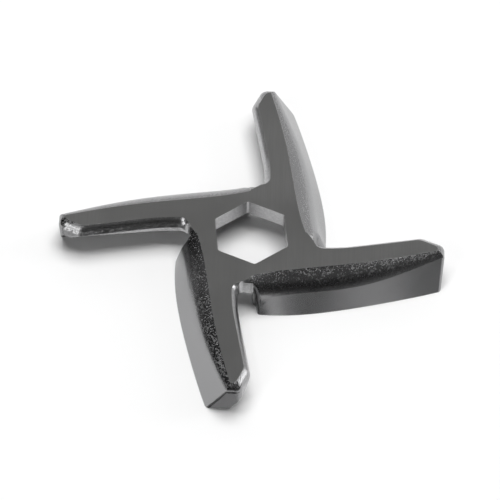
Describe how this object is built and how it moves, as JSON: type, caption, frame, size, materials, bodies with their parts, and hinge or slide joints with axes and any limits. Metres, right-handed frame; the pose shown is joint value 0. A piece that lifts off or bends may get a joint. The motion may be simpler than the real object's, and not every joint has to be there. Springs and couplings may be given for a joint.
{
  "type": "meat grinder knife",
  "caption": "Stamped and bent steel knife with ground cutting arms, each with a bent-down trailing flange, and a hexagonal drive bore.",
  "frame": {"origin": "on the axis of the hexagonal bore, at the surface that the flanges stand on", "axes": "+Z along the bore axis towards the ground cutting face; one arm points along +Y"},
  "size_m": [0.0498, 0.0498, 0.0047],
  "materials": {
    "knife_steel": "stainless steel, ground flat on the cutting face, tumbled elsewhere"
  },
  "bodies": {
    "root": {"knife": "knife_steel"}
  },
  "joints": []
}
